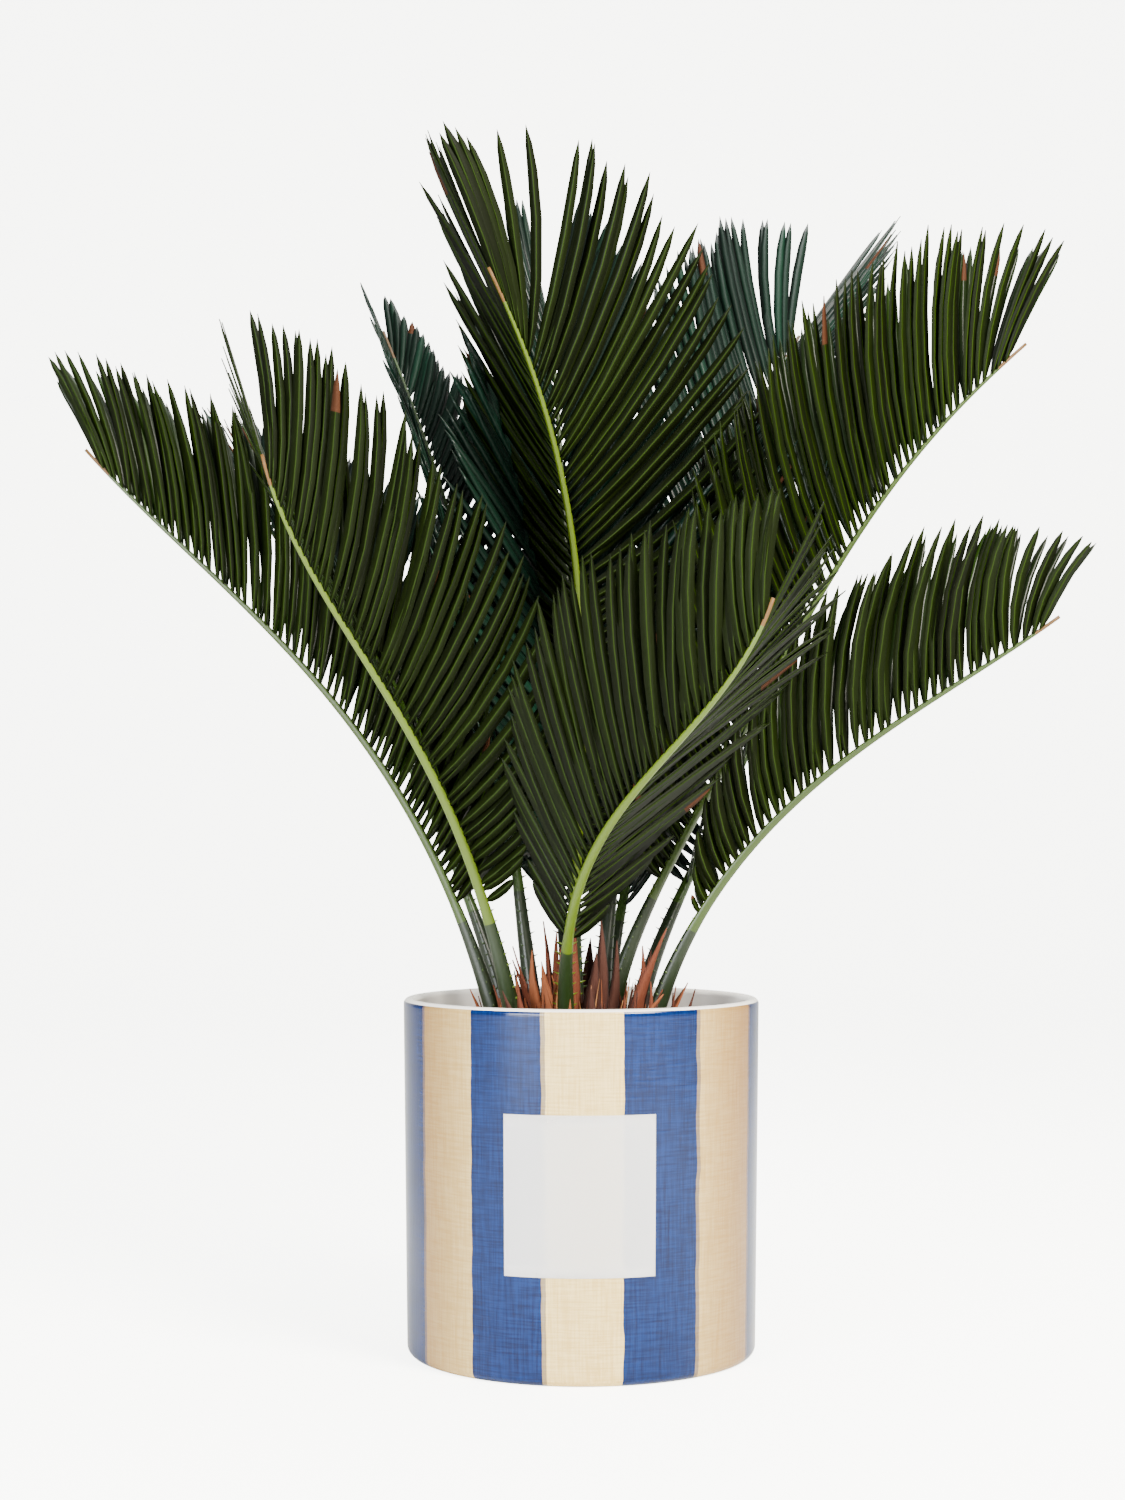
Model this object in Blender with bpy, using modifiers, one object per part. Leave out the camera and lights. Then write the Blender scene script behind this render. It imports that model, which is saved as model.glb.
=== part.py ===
# Potted sago cycad: a striped glazed pot, its soil, a short trunk with brown scales, and thirteen fronds.
# Metres, +Z up. The origin is the middle of the pot's underside, and the viewer stands towards -Y.
# A frond is one solid: a rib that climbs and turns by its named angles, and two rows of leaflets.
import math
import random

import bmesh
import bpy
from mathutils import Vector
from mathutils.bvhtree import BVHTree

SEAT_GAP = 0.0003
MERGE = 0.00001

POT_HEIGHT = 0.200
POT_TOP_RADIUS = 0.101
POT_FOOT_RADIUS = 0.0985
POT_WALL = 0.0065
POT_FLOOR = 0.008
POT_EDGE = 0.005
POT_INNER_CORNER = 0.006
POT_STEPS = 48
ARC_STEPS = 3

LABEL_WIDTH = 0.083
LABEL_HEIGHT = 0.086
LABEL_THICKNESS = 0.0004
LABEL_MIDDLE_Z = 0.101
LABEL_BEARING = 269.1
LABEL_STEPS = 16

SOIL_TOP = 0.150
SOIL_CROWN = 0.003
SOIL_STEPS = 40

TRUNK_TOP = 0.179
TRUNK_DOME_RADIUS = 0.170
TRUNK_DOME_REACH = 0.051
TRUNK_WAIST_RADIUS = 0.053
TRUNK_CUT_RADIUS = 0.047
TRUNK_STEPS = 32
TRUNK_DOME_BANDS = 4

# The rib's section is a flat top, two low sides that carry the leaflets, and a keel below.
SPINE_STEPS = 120
STALK_STATIONS = 5
LEAFLETS_A_SIDE = 26
RIB_HALF_WIDTH = (0.0057, 0.0034, 0.0012)
RIB_SIDE = (0.0048, 0.0010, 0.0007)
RIB_KEEL = (0.0065, 0.0048, 0.0014)
TOPMOST_LEAFLET = 0.985
# The last leaflets close up to this share of their angle.
TIP_FOLD_ANGLE = 0.20

LEAFLET_ROOT = 0.0052
LEAFLET_WIDTH = 0.0088
LEAFLET_FILL = 0.86
LEAFLET_HALF_THICKNESS = 0.00075
LEAFLET_BELLY = 0.68
LEAFLET_CLEARANCE = 0.0005
LEAFLET_ANGLE_PLAY = 0.8
LEAFLET_LIFT_PLAY = 1.2
LEAFLET_LENGTH_PLAY = 0.05
MOST_LIFT = 82
NEIGHBOURS_TESTED = 12
# Where a leaflet would touch another frond it swings by the first number in degrees and keeps the
# second number of its length. The first pair that is clear is taken, and with none it is left out.
LEAFLET_TRIES = (
    (0, 1.0), (-9, 1.0), (9, 1.0), (-18, 0.95), (18, 0.95), (0, 0.8), (-12, 0.75), (12, 0.75),
    (-27, 0.85), (27, 0.85), (0, 0.6), (-24, 0.6), (24, 0.6), (0, 0.42), (-36, 0.5), (0, 0.3),
)

# Climb is the angle above level at evenly spaced places from the foot to the tip. Heading is the
# bearing at the foot, the middle and the tip: 0 is +X and 90 is away from the viewer.
# Bare is the leafless share of the rib. Leaflets are the lengths of the first, at a third, at two
# thirds and last, and over the share called fold the last ones close up along the rib. A row's angles
# lie between leaflet and rib at its first, middle and last leaflet, and its lift is how far the row
# rises out of the rib's sideways direction.
FRONDS = {
    "frond_left_front": dict(
        climb=(75, 65, 54, 75), heading=(220, 212, 210), length=0.361, bare=0.24, fold=0.06,
        leaflets=(0.020, 0.122, 0.127, 0.082), sweep=15,
        left=dict(angles=(67, 48, 23), lift=43), right=dict(angles=(65, 50, 26), lift=32),
    ),
    "frond_centre_high": dict(
        climb=(87, 94, 75, 58), heading=(239, 237, 215), length=0.444, bare=0.20, fold=0.14,
        leaflets=(0.045, 0.125, 0.150, 0.078), sweep=15,
        left=dict(angles=(72, 54, 14), lift=57), right=dict(angles=(66, 50, 20), lift=28),
    ),
    "frond_right_front": dict(
        climb=(77, 48, 37, 67), heading=(258, 303, 322), length=0.314, bare=0.22, fold=0.06,
        leaflets=(0.032, 0.128, 0.112, 0.060), sweep=15,
        left=dict(angles=(60, 60, 36), lift=28), right=dict(angles=(60, 42, 31), lift=62),
    ),
    "frond_left_low": dict(
        climb=(75, 60, 45, 48), heading=(178, 179, 182), length=0.424, bare=0.20, fold=0.06,
        leaflets=(0.040, 0.144, 0.112, 0.078), sweep=15,
        left=dict(angles=(61, 49, 38), lift=61), right=dict(angles=(64, 44, 31), lift=64),
    ),
    "frond_right_high": dict(
        climb=(85, 61, 60, 53, 41), heading=(7, 7, 3), length=0.477, bare=0.20, fold=0.06,
        leaflets=(0.045, 0.128, 0.135, 0.064), sweep=15,
        left=dict(angles=(64, 48, 41), lift=69), right=dict(angles=(63, 55, 46), lift=66),
    ),
    "frond_right_low": dict(
        climb=(77, 51, 34, 35), heading=(345, 347, 345), length=0.341, bare=0.24, fold=0.08,
        leaflets=(0.014, 0.102, 0.106, 0.044), sweep=26,
        left=dict(angles=(57, 54, 56), lift=64), right=dict(angles=(54, 51, 56), lift=56),
    ),
    "frond_right_behind": dict(
        climb=(82, 68, 53, 45), heading=(64, 56, 55), length=0.518, bare=0.22, fold=0.08,
        leaflets=(0.045, 0.130, 0.150, 0.115), sweep=15,
        left=dict(angles=(66, 42, 36), lift=54), right=dict(angles=(65, 50, 31), lift=30),
    ),
    "frond_centre_behind": dict(
        climb=(83, 82, 74, 66), heading=(98, 98, 102), length=0.455, bare=0.22, fold=0.10,
        leaflets=(0.045, 0.125, 0.120, 0.086), sweep=12,
        left=dict(angles=(65, 46, 18), lift=44), right=dict(angles=(65, 46, 20), lift=44),
    ),
    "frond_left_behind": dict(
        climb=(79, 79, 69, 60), heading=(139, 139, 134), length=0.450, bare=0.22, fold=0.06,
        leaflets=(0.045, 0.128, 0.076, 0.050), sweep=15,
        left=dict(angles=(65, 50, 30), lift=37), right=dict(angles=(66, 43, 22), lift=29),
    ),
    "frond_right_rear": dict(
        climb=(77, 57, 65, 48), heading=(40, 38, 33), length=0.418, bare=0.24, fold=0.06,
        leaflets=(0.045, 0.128, 0.122, 0.080), sweep=15,
        left=dict(angles=(65, 50, 30), lift=50), right=dict(angles=(65, 50, 30), lift=50),
    ),
    "frond_left_rear": dict(
        climb=(75, 60, 50, 46), heading=(152, 142, 136), length=0.420, bare=0.22, fold=0.06,
        leaflets=(0.045, 0.120, 0.105, 0.060), sweep=15,
        left=dict(angles=(65, 52, 32), lift=48), right=dict(angles=(65, 52, 32), lift=48),
    ),
    "frond_back_low": dict(
        climb=(75, 52, 38, 30), heading=(98, 104, 108), length=0.390, bare=0.22, fold=0.06,
        leaflets=(0.045, 0.118, 0.105, 0.060), sweep=15,
        left=dict(angles=(65, 52, 36), lift=46), right=dict(angles=(65, 52, 36), lift=46),
    ),
    "frond_back_right_low": dict(
        climb=(75, 52, 38, 32), heading=(72, 64, 58), length=0.385, bare=0.22, fold=0.06,
        leaflets=(0.045, 0.118, 0.105, 0.060), sweep=15,
        left=dict(angles=(65, 52, 36), lift=46), right=dict(angles=(65, 52, 36), lift=46),
    ),
}

# Scales stand on the trunk's dome between the frond feet, on a spiral by the golden angle.
SCALE_PLACES = 90
SCALES_KEPT = 20
GOLDEN_ANGLE = 137.508
SCALE_RING = (0.010, 0.047)
SCALE_LENGTHS = (0.034, 0.074)
SCALE_HALF_WIDTH = 0.0065
SCALE_HALF_THICKNESS = 0.0012
SCALE_CLEARANCE = 0.0004
SCALE_LEAN = 9
# Share of the scale's length and of its width at each section above the foot.
SCALE_SECTIONS = ((0.30, 1.0), (0.65, 0.62))

COLOURS = {
    "glaze": ((0.63, 0.55, 0.42), 0.15),
    "paper": ((0.90, 0.90, 0.90), 0.60),
    "soil": ((0.035, 0.022, 0.014), 0.95),
    "bark": ((0.10, 0.050, 0.025), 0.90),
    "scale": ((0.13, 0.045, 0.022), 0.85),
    "frond": ((0.020, 0.055, 0.012), 0.45),
}


def clear_scene():
    for item in list(bpy.data.objects):
        bpy.data.objects.remove(item, do_unlink=True)


def make_material(name):
    colour, roughness = COLOURS[name]
    material = bpy.data.materials.new(name)
    material.use_nodes = True
    shader = material.node_tree.nodes["Principled BSDF"]
    shader.inputs["Base Color"].default_value = (*colour, 1.0)
    shader.inputs["Roughness"].default_value = roughness
    shader.inputs["Metallic"].default_value = 0.0
    return material


def add_object(name, mesh, material, group):
    item = bpy.data.objects.new(name, mesh)
    mesh.materials.append(material)
    group.objects.link(item)
    return item


def blend(values, share):
    # The smooth curve through values spaced evenly from share 0 to share 1, read at share.
    last = len(values) - 1
    total = 0.0
    for i, value in enumerate(values):
        weight = 1.0
        for j in range(len(values)):
            if j != i:
                weight *= (share * last - j) / (i - j)
        total += value * weight
    return total


def direction(climb, heading):
    c, h = math.radians(climb), math.radians(heading)
    return Vector((math.cos(c) * math.cos(h), math.cos(c) * math.sin(h), math.sin(c)))


def dome_foot(climb, heading):
    # The point just above the trunk's dome where its surface faces the given way.
    centre = Vector((0, 0, TRUNK_TOP - TRUNK_DOME_RADIUS))
    return centre + (TRUNK_DOME_RADIUS + SEAT_GAP) * direction(climb, heading)


def dome_height(reach):
    return TRUNK_TOP - TRUNK_DOME_RADIUS + math.sqrt(TRUNK_DOME_RADIUS**2 - reach**2)


def pot_radius(z):
    return POT_FOOT_RADIUS + (POT_TOP_RADIUS - POT_FOOT_RADIUS) * z / POT_HEIGHT


def arc(centre, radius, start, end, steps=ARC_STEPS):
    # Points of an arc in the profile plane, from angle start to angle end in degrees.
    points = []
    for i in range(steps + 1):
        angle = math.radians(start + (end - start) * i / steps)
        points.append((centre[0] + radius * math.cos(angle), centre[1] + radius * math.sin(angle)))
    return points


def profile_mesh(name, points):
    mesh = bpy.data.meshes.new(name)
    shape = bmesh.new()
    verts = [shape.verts.new((r, 0, z)) for r, z in points]
    for a, b in zip(verts, verts[1:]):
        shape.edges.new((a, b))
    shape.to_mesh(mesh)
    shape.free()
    return mesh


def add_screw(item, steps, angle=360.0):
    screw = item.modifiers.new("turn", "SCREW")
    screw.angle = math.radians(angle)
    screw.steps = steps
    screw.render_steps = steps
    screw.use_merge_vertices = True
    screw.merge_threshold = MERGE
    return screw


def make_pot(group):
    rim = POT_WALL / 2
    inner = pot_radius(POT_HEIGHT) - POT_WALL
    floor_radius = pot_radius(POT_FLOOR) - POT_WALL
    points = [(0, POT_FLOOR)]
    points += arc((floor_radius - POT_INNER_CORNER, POT_FLOOR + POT_INNER_CORNER), POT_INNER_CORNER, -90, 0)
    points += arc((inner + rim, POT_HEIGHT - rim), rim, 180, 0, 2 * ARC_STEPS)
    points += arc((POT_FOOT_RADIUS - POT_EDGE, POT_EDGE), POT_EDGE, 0, -90)
    points.append((0, 0))
    pot = add_object("pot", profile_mesh("pot", points), make_material("glaze"), group)
    add_screw(pot, POT_STEPS)


def make_label(group):
    # A bare sheet on the pot's front, one turned strip with a thickness.
    low, high = LABEL_MIDDLE_Z - LABEL_HEIGHT / 2, LABEL_MIDDLE_Z + LABEL_HEIGHT / 2
    points = [(pot_radius(z) + SEAT_GAP, z) for z in (high, low)]
    label = add_object("label", profile_mesh("label", points), make_material("paper"), group)
    spread = math.degrees(LABEL_WIDTH / pot_radius(LABEL_MIDDLE_Z))
    add_screw(label, LABEL_STEPS, spread)
    shell = label.modifiers.new("sheet", "SOLIDIFY")
    shell.thickness = LABEL_THICKNESS
    shell.offset = 1.0
    label.rotation_euler = (0, 0, math.radians(LABEL_BEARING - spread / 2))


def make_soil(group):
    # The root ball fills the pot up to the soil's gently crowned top.
    base = POT_FLOOR + SEAT_GAP
    corner = POT_INNER_CORNER
    wall = POT_WALL + SEAT_GAP
    points = [(0, SOIL_TOP), (0.060, SOIL_TOP), (pot_radius(SOIL_TOP) - wall, SOIL_TOP - SOIL_CROWN)]
    points.append((pot_radius(base + corner) - wall, base + corner))
    points.append((pot_radius(base) - wall - corner, base))
    points.append((0, base))
    soil = add_object("soil", profile_mesh("soil", points), make_material("soil"), group)
    add_screw(soil, SOIL_STEPS)


def make_trunk(group):
    cut = SOIL_TOP + SEAT_GAP
    points = []
    for i in range(TRUNK_DOME_BANDS + 1):
        reach = TRUNK_DOME_REACH * i / TRUNK_DOME_BANDS
        points.append((reach, dome_height(reach)))
    edge = points[-1][1]
    points.append((TRUNK_WAIST_RADIUS, edge - 0.25 * (edge - cut)))
    points.append((TRUNK_WAIST_RADIUS - 0.001, edge - 0.6 * (edge - cut)))
    points += [(TRUNK_CUT_RADIUS, cut), (0, cut)]
    trunk = add_object("trunk", profile_mesh("trunk", points), make_material("bark"), group)
    add_screw(trunk, TRUNK_STEPS)


class Spine:
    # A rib's middle line with the directions along it, across it to the right, and out of its top.
    def __init__(self, frond):
        self.frond = frond
        step = frond["length"] / SPINE_STEPS
        self.points = [dome_foot(frond["climb"][0], frond["heading"][0])]
        for i in range(SPINE_STEPS):
            along = self.axes((i + 0.5) / SPINE_STEPS)[0]
            self.points.append(self.points[-1] + along * step)

    def axes(self, share):
        climb = blend(self.frond["climb"], share)
        heading = blend(self.frond["heading"], share)
        along = direction(climb, heading)
        right = Vector((math.sin(math.radians(heading)), -math.cos(math.radians(heading)), 0))
        return along, right, right.cross(along)

    def point(self, share):
        place = min(max(share, 0.0), 1.0) * SPINE_STEPS
        i = min(int(place), SPINE_STEPS - 1)
        return self.points[i].lerp(self.points[i + 1], place - i)

    def section(self, share):
        # Five corners: right side from top to bottom, the keel, and the left side from bottom to top.
        bare = self.frond["bare"]
        place = 0.5 * share / bare if share < bare else 0.5 + 0.5 * (share - bare) / (1 - bare)
        wide, side, keel = (tapered(size, place) for size in (RIB_HALF_WIDTH, RIB_SIDE, RIB_KEEL))
        along, right, up = self.axes(share)
        middle = self.point(share)
        corners = ((wide, side), (wide, -side), (0, -keel), (-wide, -side), (-wide, side))
        return [middle + right * x + up * y for x, y in corners]


def tapered(sizes, place):
    # Straight runs from the foot's size to the first leaflet's and on to the tip's.
    if place < 0.5:
        return sizes[0] + (sizes[1] - sizes[0]) * place / 0.5
    return sizes[1] + (sizes[2] - sizes[1]) * (place - 0.5) / 0.5


def station_shares(frond):
    # Shares of the rib's length at its sections, and for each leaflet the section where its root begins.
    bare, length = frond["bare"], frond["length"]
    shares = [bare * i / STALK_STATIONS for i in range(STALK_STATIONS)]
    roots = []
    pitch = (TOPMOST_LEAFLET - bare) / LEAFLETS_A_SIDE
    root = min(LEAFLET_ROOT / length, 0.6 * pitch)
    for i in range(LEAFLETS_A_SIDE):
        start = bare + pitch * i
        roots.append(len(shares))
        shares += [start, start + root]
    return shares + [1.0], roots


def extrude_to(shape, face, corners):
    # Extrudes a face and puts its corners, in the face's own order, at the given places.
    face = bmesh.ops.extrude_discrete_faces(shape, faces=[face])["faces"][0]
    for vert, place in zip(face.verts, corners):
        vert.co = place
    return face


def rib_shape(spine):
    # The rib's mesh, and its side faces between sections, keyed by section and side.
    shape = bmesh.new()
    shares, roots = station_shares(spine.frond)
    sections = [spine.section(share) for share in shares]
    rings = [[shape.verts.new(place) for place in corners] for corners in sections]
    sides = {}
    for i, (low, high) in enumerate(zip(rings, rings[1:])):
        for k in range(len(low)):
            n = (k + 1) % len(low)
            face = shape.faces.new((low[k], high[k], high[n], low[n]))
            if k == 0:
                sides[i, "right"] = face
            elif k == 3:
                sides[i, "left"] = face
    shape.faces.new(rings[0])
    shape.faces.new(rings[-1][::-1])
    return shape, sides, shares, roots


def tip_fold(place, fold):
    # The share of its angle that a leaflet keeps: all of it up to the fold, and least at half the fold.
    closing = min(max(2 * (place - (1 - fold)) / fold, 0.0), 1.0)
    return 1 - (1 - TIP_FOLD_ANGLE) * closing


def leaflet_path(spine, share, side, swing, keep, play):
    # The leaflet's middle line and its directions: along it, forwards and out of its upper face.
    frond = spine.frond
    row = frond[side]
    place = (share - frond["bare"]) / (1 - frond["bare"])
    length = blend(frond["leaflets"], place) * keep * (1 + LEAFLET_LENGTH_PLAY * play[0])
    angle = blend(row["angles"], place) * tip_fold(place, frond["fold"]) + LEAFLET_ANGLE_PLAY * play[1]
    lift = math.radians(min(row["lift"] + swing + LEAFLET_LIFT_PLAY * play[2], MOST_LIFT))
    along, right, up = spine.axes(share)
    outwards = right if side == "right" else -right
    rise = math.cos(lift) * outwards + math.sin(lift) * up
    face = math.cos(lift) * up - math.sin(lift) * outwards

    def heading_at(part):
        a = math.radians(angle + frond["sweep"] * (0.5 - part))
        return math.cos(a) * along + math.sin(a) * rise, math.sin(a) * along - math.cos(a) * rise

    belly = heading_at(LEAFLET_BELLY / 2)[0] * (length * LEAFLET_BELLY)
    tip = belly + heading_at((1 + LEAFLET_BELLY) / 2)[0] * (length * (1 - LEAFLET_BELLY))
    return belly, tip, heading_at(LEAFLET_BELLY)[1], face, length, angle


def leaflet_corners(spine, shares, start, side, swing, keep, play, extra=0.0):
    # Corners of the leaflet's belly, in the order of its root face, and its tip.
    share = (shares[start] + shares[start + 1]) / 2
    belly, tip, forward, face, length, angle = leaflet_path(spine, share, side, swing, keep, play)
    pitch = (TOPMOST_LEAFLET - spine.frond["bare"]) / LEAFLETS_A_SIDE * spine.frond["length"]
    room = LEAFLET_FILL * pitch * math.sin(math.radians(angle))
    wide = min(LEAFLET_WIDTH, room, 0.25 * length) / 2 + extra
    thick = LEAFLET_HALF_THICKNESS + extra
    root = root_middle(spine, shares, start, side)
    places = ((-wide, thick), (wide, thick), (wide, -thick), (-wide, -thick))
    corners = [root + belly + forward * x + face * y for x, y in places]
    if side == "left":
        corners.reverse()
    return corners, root + tip + (tip - belly).normalized() * extra


def root_middle(spine, shares, start, side):
    corners = spine.section((shares[start] + shares[start + 1]) / 2)
    pair = corners[0:2] if side == "right" else corners[3:5]
    return (pair[0] + pair[1]) / 2


def leaflet_tree(root, corners, tip):
    points = root + corners + [tip]
    faces = [(k, (k + 1) % 4, 4 + (k + 1) % 4, 4 + k) for k in range(4)]
    faces += [(4 + k, 4 + (k + 1) % 4, 8) for k in range(4)]
    return BVHTree.FromPolygons(points, faces, epsilon=0.0)


def grow_leaflets(name, spine, shape, sides, shares, roots, trees, chance):
    # Each leaflet keeps clear of the other fronds and of the last few leaflets of its own.
    grown = []
    for start in roots:
        for side in ("left", "right"):
            play = [chance.uniform(-1, 1) for _ in range(3)]
            face = sides[start, side]
            root = [vert.co.copy() for vert in face.verts]
            near = trees + grown[-NEIGHBOURS_TESTED:]
            for swing, keep in LEAFLET_TRIES:
                shaped = (spine, shares, start, side, swing, keep, play)
                probe = leaflet_tree(root, *leaflet_corners(*shaped, LEAFLET_CLEARANCE))
                if any(tree.overlap(probe) for tree in near):
                    continue
                corners, tip = leaflet_corners(*shaped)
                end = extrude_to(shape, face, corners)
                bmesh.ops.poke(shape, faces=[end])["verts"][0].co = tip
                grown.append(leaflet_tree(root, corners, tip))
                break
    print(f"{name}: {len(grown)} leaflets of {2 * len(roots)}")


def finish_shape(name, shape, material, group):
    bmesh.ops.recalc_face_normals(shape, faces=shape.faces)
    mesh = bpy.data.meshes.new(name)
    shape.to_mesh(mesh)
    shape.free()
    return add_object(name, mesh, material, group)


def make_fronds(group, chance):
    # Every rib is made first, so that no leaflet grows through one. The fronds at the front come first.
    material = make_material("frond")
    spines = {name: Spine(frond) for name, frond in FRONDS.items()}
    ribs = {name: rib_shape(spine) for name, spine in spines.items()}
    trees = {name: BVHTree.FromBMesh(rib[0]) for name, rib in ribs.items()}
    for name, spine in spines.items():
        shape, sides, shares, roots = ribs[name]
        others = [tree for other, tree in trees.items() if other != name]
        grow_leaflets(name, spine, shape, sides, shares, roots, others, chance)
        trees[name] = BVHTree.FromBMesh(shape)
        finish_shape(name, shape, material, group)
    return list(trees.values())


def scale_rings(place, chance, extra=0.0):
    # The foot, the two sections above it and the tip of one scale, that leans a little outwards.
    share = place / (SCALE_PLACES - 1)
    reach = SCALE_RING[0] + (SCALE_RING[1] - SCALE_RING[0]) * math.sqrt(share)
    heading = place * GOLDEN_ANGLE
    climb = math.degrees(math.acos(reach / TRUNK_DOME_RADIUS))
    length = SCALE_LENGTHS[0] + (SCALE_LENGTHS[1] - SCALE_LENGTHS[0]) * chance[0]
    lean = SCALE_LEAN * (2 * chance[1] - 1)
    along = direction(climb - lean, heading + 20 * (chance[2] - 0.5))
    across = Vector((-math.sin(math.radians(heading)), math.cos(math.radians(heading)), 0))
    foot = dome_foot(climb, heading)
    normal = direction(climb, heading)
    outward = across.cross(normal)
    rings = []
    for part, width in ((0.0, 0.8), *SCALE_SECTIONS):
        middle = foot + along * (length * part)
        wide = SCALE_HALF_WIDTH * width + extra
        thick = SCALE_HALF_THICKNESS * (1 - 0.3 * part) + extra
        corners = ((-wide, -thick), (wide, -thick), (wide, thick), (-wide, thick))
        rings.append([middle + across * x + outward * y for x, y in corners])
    return rings, foot + along * (length + extra)


def ring_faces(count):
    faces = []
    for i in range(count - 1):
        faces += [(4 * i + k, 4 * i + (k + 1) % 4, 4 * i + 4 + (k + 1) % 4, 4 * i + 4 + k) for k in range(4)]
    top = 4 * (count - 1)
    return faces + [(top + k, top + (k + 1) % 4, top + 4) for k in range(4)]


def make_scales(group, trees, chance):
    material = make_material("scale")
    kept = 0
    for place in range(SCALE_PLACES):
        draw = [chance.random() for _ in range(3)]
        rings, tip = scale_rings(place, draw, SCALE_CLEARANCE)
        points = [corner for ring in rings for corner in ring] + [tip]
        probe = BVHTree.FromPolygons(points, ring_faces(len(rings)), epsilon=0.0)
        if kept == SCALES_KEPT or any(tree.overlap(probe) for tree in trees):
            continue
        kept += 1
        rings, tip = scale_rings(place, draw)
        shape = bmesh.new()
        verts = [shape.verts.new(corner) for ring in rings for corner in ring]
        verts.append(shape.verts.new(tip))
        for face in ring_faces(len(rings)):
            shape.faces.new([verts[i] for i in face])
        shape.faces.new(verts[3::-1])
        trees.append(BVHTree.FromBMesh(shape))
        finish_shape(f"scale_{kept:02d}", shape, material, group)
    print(f"{kept} scales")


def main():
    clear_scene()
    group = bpy.data.collections.new("potted_cycad")
    bpy.context.scene.collection.children.link(group)
    make_pot(group)
    make_label(group)
    make_soil(group)
    make_trunk(group)
    chance = random.Random(7)
    trees = make_fronds(group, chance)
    make_scales(group, trees, chance)


main()
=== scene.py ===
import math
import random

import bmesh
import bpy
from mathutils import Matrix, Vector, noise


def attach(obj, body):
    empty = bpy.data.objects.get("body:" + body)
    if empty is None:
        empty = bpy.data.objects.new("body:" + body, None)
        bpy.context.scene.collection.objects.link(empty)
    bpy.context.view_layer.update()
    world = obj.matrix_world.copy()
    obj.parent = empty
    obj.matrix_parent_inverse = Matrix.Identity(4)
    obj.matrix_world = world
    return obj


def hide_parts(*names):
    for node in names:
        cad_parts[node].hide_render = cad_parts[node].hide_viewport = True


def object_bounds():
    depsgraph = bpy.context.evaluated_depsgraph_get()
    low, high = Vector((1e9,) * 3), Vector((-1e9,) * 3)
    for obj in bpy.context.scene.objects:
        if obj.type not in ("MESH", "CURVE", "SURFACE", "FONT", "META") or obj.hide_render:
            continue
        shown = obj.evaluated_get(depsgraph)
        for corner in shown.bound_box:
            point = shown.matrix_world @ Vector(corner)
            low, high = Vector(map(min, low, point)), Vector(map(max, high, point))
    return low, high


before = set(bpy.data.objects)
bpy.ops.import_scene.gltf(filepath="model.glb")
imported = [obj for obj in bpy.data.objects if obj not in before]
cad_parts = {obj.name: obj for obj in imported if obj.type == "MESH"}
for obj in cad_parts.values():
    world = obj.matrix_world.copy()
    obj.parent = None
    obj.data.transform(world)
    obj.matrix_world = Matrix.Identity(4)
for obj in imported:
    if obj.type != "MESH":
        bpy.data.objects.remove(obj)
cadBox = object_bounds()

chance = random.Random(11)


def linear(hexColour):
    # sRGB hex to the linear values that sockets hold.
    parts = [int(hexColour[i:i + 2], 16) / 255 for i in (1, 3, 5)]
    return tuple(p / 12.92 if p <= 0.04045 else ((p + 0.055) / 1.055) ** 2.4 for p in parts) + (1.0,)


def addNode(material, kind, settings, links=None):
    # Settings name attributes or inputs, and links name inputs and the outputs that feed them.
    node = material.node_tree.nodes.new(kind)
    for name, value in settings.items():
        if isinstance(name, int) or name in node.inputs:
            node.inputs[name].default_value = value
        else:
            setattr(node, name, value)
    for name, source in (links or {}).items():
        material.node_tree.links.new(source, node.inputs[name])
    return node


def newMaterial(name, settings):
    material = bpy.data.materials.new(name)
    material.use_nodes = True
    shader = material.node_tree.nodes["Principled BSDF"]
    for key, value in settings.items():
        shader.inputs[key].default_value = linear(value) if isinstance(value, str) else value
    return material, shader


def objectCoordinates(material):
    return addNode(material, "ShaderNodeTexCoord", {}).outputs["Object"]


def addBump(material, shader, scale, detail, strength, distance):
    place = objectCoordinates(material)
    grain = addNode(material, "ShaderNodeTexNoise", {"Scale": scale, "Detail": detail}, {"Vector": place})
    bump = addNode(material, "ShaderNodeBump", {"Strength": strength, "Distance": distance},
                   {"Height": grain.outputs["Fac"]})
    material.node_tree.links.new(bump.outputs["Normal"], shader.inputs["Normal"])
    return grain


def makeObject(name, shape, materials, replaced):
    mesh = bpy.data.meshes.new(name)
    if isinstance(shape, dict):
        mesh.from_pydata(shape["points"], [], shape["faces"])
        mesh.polygons.foreach_set("material_index", shape["looks"])
    else:
        shape.to_mesh(mesh)
        shape.free()
    mesh.update()
    mesh.shade_smooth()
    for material in materials:
        mesh.materials.append(material)
    piece = bpy.data.objects.new(name, mesh)
    bpy.context.scene.collection.objects.link(piece)
    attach(piece, "root")
    if replaced:
        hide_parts(*replaced)
    return piece


def spinProfile(points, steps):
    # A closed turned shape from a profile that starts and ends on the axis.
    shape = bmesh.new()
    verts = [shape.verts.new((r, 0, z)) for r, z in points]
    edges = [shape.edges.new(pair) for pair in zip(verts, verts[1:])]
    bmesh.ops.spin(shape, geom=verts + edges, cent=(0, 0, 0), axis=(0, 0, 1),
                   angle=2 * math.pi, steps=steps, use_merge=True, use_duplicate=False)
    # The points on the axis were spun into a bundle each, and become one pole.
    bmesh.ops.remove_doubles(shape, verts=shape.verts, dist=0.00001)
    bmesh.ops.recalc_face_normals(shape, faces=shape.faces)
    return shape


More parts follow.
